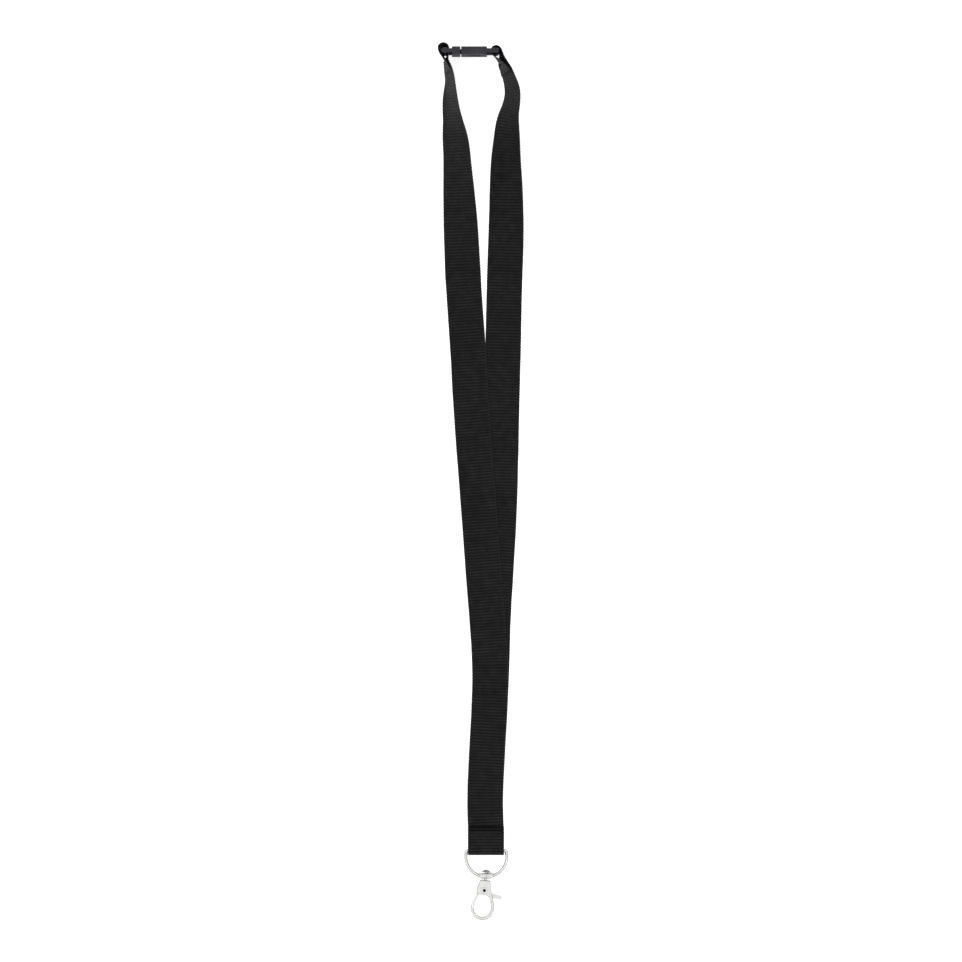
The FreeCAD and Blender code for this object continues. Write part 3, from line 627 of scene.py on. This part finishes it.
def make_ribbons(material):
    left = Ribbon(LEFT_ROUTE + fold_round_ring(LEFT_FOLD_RADIUS) + LEFT_TAIL, seed=11.0)
    right = Ribbon(RIGHT_ROUTE + fold_round_ring(RIGHT_FOLD_RADIUS) + RIGHT_TAIL, seed=23.0)
    drape_over(left, right)
    for ribbon in (left, right):
        ribbon.ripple(amount=0.35, wave=38.0, start=60.0, end=ribbon.path.length - 70.0)
        # Painted shadow along the cut end of each loop's tail.
        ribbon.paint_shade_line(at=0.0, spread=0.7, depth=2.0)
    left.lean(high=0.5, tail_low=1.4, leg_low=0.4)
    right.lean(high=0.5, tail_low=0.6, leg_low=1.0)
    left.curl_low_edge(start=38.0, end=84.0, reach=0.34, height=0.8)
    left.skew_start(amount=1.3, reach=9.0)
    right.skew_start(amount=1.6, reach=9.0)
    left.curl_start(amount=0.9, reach=4.0)
    right.curl_start(amount=0.7, reach=5.0)
    cut = right.path.length
    seam = cut - BOTTOM_SEAM
    # Painted shadow along the bottom cut end, and painted shade in the dent of its stitch row.
    right.paint_shade_line(at=cut, spread=0.7, depth=2.0)
    right.paint_shade_line(at=seam, spread=0.5, depth=0.8)
    right.wavy_end(amount=0.35, reach=1.6)
    right.pinch(at=seam, depth=0.2, spread=0.9)
    left_piece = left.build("ribbon_left", material)
    right_piece = right.build("ribbon_right", material)
    lengths = ("loop", "upper_twist", "lower_twist", "upper_leg", "leg", "lower_leg", "fold")
    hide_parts(*[f"left_ribbon_{part}" for part in lengths])
    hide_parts(*[f"right_ribbon_{part}" for part in lengths])
    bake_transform(left_piece, "male_half", "strap",
             start=(-18 * MM, 228 * MM, 10 * MM), end=(-10 * MM, 110 * MM, 2 * MM))
    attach(right_piece, "strap")
    return left, right


# The left ribbon lies over the right one between FLAT_FROM_Y and SEWN_FROM_Y. Beside the right one it comes
# down over DRAPE_SLOPE, from DRAPE_MARGIN outside the edge, and it loses at most COVERED_LIFT. It does so
# DRAPE_IN below FLAT_FROM_Y, and less and less over the last DRAPE_OUT above DRAPE_END_Y.
FLAT_FROM_Y = 118.0
SEWN_FROM_Y = -195.0
DRAPE_IN = 14.0
DRAPE_END_Y = -186.0
DRAPE_OUT = 40.0
DRAPE_MARGIN = 1.6
DRAPE_SLOPE = 2.4
COVERED_LIFT = 0.75


def drape_over(upper, lower):
    """Lets the upper ribbon down to the floor wherever the lower one isn't under it."""
    flat = lower.path.centre[:, 1] < FLAT_FROM_Y
    flat &= np.arange(len(lower.path.at)) > len(lower.path.at) // 4
    flat &= lower.path.centre[:, 1] > SEWN_FROM_Y
    order = np.argsort(lower.path.centre[flat, 1])
    level_y = lower.path.centre[flat, 1][order]
    left_edge = lower.path.centre[flat, 0][order] - WIDTH / 2
    right_edge = left_edge + WIDTH
    x = upper.path.centre[:, 0][:, None] + upper.side
    y = upper.path.centre[:, 1]
    start = np.interp(y, level_y, left_edge)[:, None]
    stop = np.interp(y, level_y, right_edge)[:, None]
    over = smooth((x - start + DRAPE_MARGIN) / DRAPE_SLOPE) * smooth((stop + DRAPE_MARGIN - x) / DRAPE_SLOPE)
    where = smooth((FLAT_FROM_Y - y) / DRAPE_IN) * smooth((y - DRAPE_END_Y) / DRAPE_OUT)
    where *= np.arange(len(y)) > len(y) // 4
    where *= upper.path.at < upper.path.length - FOLDED_LENGTH
    spare = np.minimum(upper.path.lift, COVERED_LIFT)
    upper.drop += (spare * where)[:, None] * (1.0 - over)


# ---------------------------------------------------------------- sewing

THREAD_RADIUS = 0.24 * MM
THREAD_SINK = 0.34 * MM
THREAD_SIDES = 10
THREAD_RINGS = 11
PLY_TURNS = 9.0
HOLES = 7
HOLE_WANDER = 0.12
SEWN_Y = -196.1


def stitch_mesh(holes, out):
    """One thread stitch between each pair of holes, arched out of the cloth along out."""
    vertices, faces, coordinates = [], [], []
    for one, two in zip(holes, holes[1:]):
        along = (two - one).normalized()
        side = along.cross(out).normalized()
        base = len(vertices)
        for r in range(THREAD_RINGS):
            t = r / (THREAD_RINGS - 1)
            arch = math.sin(math.pi * t) ** 0.45 if 0 < t < 1 else 0.0
            rise = THREAD_SINK * (arch - 1.0) + THREAD_RADIUS * 0.5 * arch
            centre = one.lerp(two, 0.03 + 0.94 * t) + out * rise
            thick = THREAD_RADIUS * (0.72 + 0.28 * arch)
            for k in range(THREAD_SIDES):
                a = 2 * math.pi * k / THREAD_SIDES
                vertices.append(centre + (side * math.cos(a) * 1.12 + out * math.sin(a) * 0.9) * thick)
                coordinates.append((t * PLY_TURNS, a / (2 * math.pi) * PLY_TURNS, 0.0))
        rings = [[base + r * THREAD_SIDES + k for k in range(THREAD_SIDES)] for r in range(THREAD_RINGS)]
        for ring, after in zip(rings, rings[1:]):
            for k in range(THREAD_SIDES):
                n = (k + 1) % THREAD_SIDES
                faces.append((ring[k], ring[n], after[n], after[k]))
        faces.append(tuple(rings[0]))
        faces.append(tuple(rings[-1]))
    return vertices, faces, coordinates


def sew(name, body, node, rows, material):
    """A piece of thread: each row is a list of holes and the direction out of the cloth there."""
    vertices, faces, coordinates = [], [], []
    for holes, out in rows:
        v, f, c = stitch_mesh(holes, out)
        faces += [tuple(i + len(vertices) for i in face) for face in f]
        vertices += v
        coordinates += c
    piece = woven_piece(name, [v[:] for v in vertices], faces, coordinates, material)
    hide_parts(node)
    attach(piece, body)


def back_row(ribbon, row, reach, drift=0.0):
    """Holes across the back of a ribbon at a row, and the way out of the cloth."""
    path = ribbon.path
    out = Vector(-path.face[row])
    half = float(ribbon.half[row, len(ACROSS) // 2]) + 0.05
    centre = Vector(path.centre[row]) + out * half
    across, along = Vector(path.across[row]), Vector(path.along[row])
    holes = []
    for k in range(HOLES):
        v = -1.0 + 2.0 * k / (HOLES - 1)
        wander = HOLE_WANDER * soft_noise(k * 1.7, row * 0.1, 4.0) + drift * v
        holes.append((centre + across * (v * reach) + along * wander) * MM)
    return holes, out


def make_stitching(left, right, material):
    path = right.path
    tail = len(path.at) - 1 - round(BOTTOM_SEAM / RIB_PITCH * ROWS_PER_RIB)
    before_fold = path.at < path.length - FOLDED_LENGTH
    under = int(np.argmin(np.where(before_fold, np.abs(path.centre[:, 1] - SEWN_Y), np.inf)))
    sew("stitching_bottom", "strap", "bottom_stitching",
        [back_row(right, row, reach=9.3, drift=0.15) for row in (tail, under)], material)
    for name, body, node, ribbon in (("stitching_left", "male_half", "left_loop_stitching", left),
                                     ("stitching_right", "strap", "right_loop_stitching", right)):
        first = round(LOOP_SEAM / RIB_PITCH * ROWS_PER_RIB)
        top = ribbon.top_row()
        heights = ribbon.path.centre[:, 1]
        after = top + int(np.argmin(np.abs(heights[top:top + 200] - heights[first])))
        sew(name, body, node, [back_row(ribbon, row, reach=9.2) for row in (first, after)], material)


# ---------------------------------------------------------------- hard pieces

WELD = 0.002 * MM
FLAT_ANGLE = math.radians(2.0)
BEVEL_ANGLE = math.radians(35)
MOULDED_EDGE = 0.22 * MM
CAST_EDGE = 0.35 * MM
PRESSED_EDGE = 0.06 * MM
RIVET_DEPTH = 1.4 * MM
RIVET_OVERLAP = 0.05 * MM
RIVET_SIDES = 24

def finish_cad(node, material):
    """Gives a CAD node that is shown as it is its material."""
    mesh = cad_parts[node].data
    mesh.materials.clear()
    mesh.materials.append(material)


def bevelled_copy(name, node, body, material, width, segments=3):
    """A piece with the CAD node's shape whose sharp edges are rounded as a moulding's are."""
    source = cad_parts[node].data
    work = bmesh.new()
    work.from_mesh(source)
    bmesh.ops.remove_doubles(work, verts=work.verts, dist=WELD)
    bmesh.ops.dissolve_limit(work, angle_limit=FLAT_ANGLE, verts=work.verts, edges=work.edges)
    mesh = bpy.data.meshes.new(name)
    work.to_mesh(mesh)
    work.free()
    for attribute in list(mesh.attributes):
        if attribute.name in ("custom_normal", "sharp_edge"):
            mesh.attributes.remove(attribute)
    mesh.materials.clear()
    mesh.materials.append(material)
    piece = add_object(name, mesh)
    bevel = piece.modifiers.new("bevel", "BEVEL")
    bevel.width = width
    bevel.segments = segments
    bevel.limit_method = "ANGLE"
    bevel.angle_limit = BEVEL_ANGLE
    bevel.harden_normals = True
    bevel.use_clamp_overlap = True
    mesh.polygons.foreach_set("use_smooth", [True] * len(mesh.polygons))
    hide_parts(node)
    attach(piece, body)
    return piece


def hole_shade_material():
    """The dull dark floor in the rivet's hollow end: painted shade that stands in for the shadow inside the
    hole, slightly mottled.
    """
    patina = Shader("rivet_hole_shade", Roughness=0.85, Specular_IOR_Level=0.1)
    shade_mottle = patina.noise(patina.place(), 2200.0, 4.0)
    colour = patina.ramp(shade_mottle, (0.3, (0.006, 0.006, 0.005)), (0.7, (0.02, 0.019, 0.017)))
    return patina.into(Base_Color=colour)


def close_rivet(rivet, material):
    """Closes the hollow of the rivet with a dark floor, RIVET_DEPTH below its upper end: a sheet of painted
    shade in the hole.
    """
    mesh = rivet.data
    mesh.materials.append(material)
    corners = np.array([v.co[:] for v in mesh.vertices])
    middle = (corners.min(axis=0) + corners.max(axis=0)) / 2
    hollow = np.hypot(*(corners - middle)[:, :2].T).min()
    radius = hollow + RIVET_OVERLAP
    height = corners[:, 2].max() - RIVET_DEPTH
    work = bmesh.new()
    work.from_mesh(mesh)
    rim = [work.verts.new((middle[0] + radius * math.cos(a), middle[1] + radius * math.sin(a), height))
           for a in np.linspace(0, 2 * math.pi, RIVET_SIDES, endpoint=False)]
    base = work.faces.new(rim)
    base.material_index = 1
    work.to_mesh(mesh)
    work.free()


def make_hardware():
    plastic = plastic_material()
    nickel = nickel_material()
    bevelled_copy("buckle_socket_half", "buckle_female", "strap", plastic, MOULDED_EDGE)
    bevelled_copy("buckle_prong_half", "buckle_male", "male_half", plastic, MOULDED_EDGE)
    bevelled_copy("thumb_trigger", "trigger_lever", "lever", nickel, CAST_EDGE, 4)
    rivet = bevelled_copy("hollow_rivet", "pivot_rivet", "hook", nickel, PRESSED_EDGE, 2)
    # A dark floor in the rivet's hollow, as painted shade.
    close_rivet(rivet, hole_shade_material())
    for node in ("d_ring", "swivel_post", "hook_body"):
        finish_cad(node, nickel)
    finish_cad("trigger_spring", spring_material())


# ---------------------------------------------------------------- the scene

make_camera()
make_world()
make_floor()
make_softboxes()
left_ribbon, right_ribbon = make_ribbons(ribbon_material())
make_stitching(left_ribbon, right_ribbon, thread_material())
make_hardware()
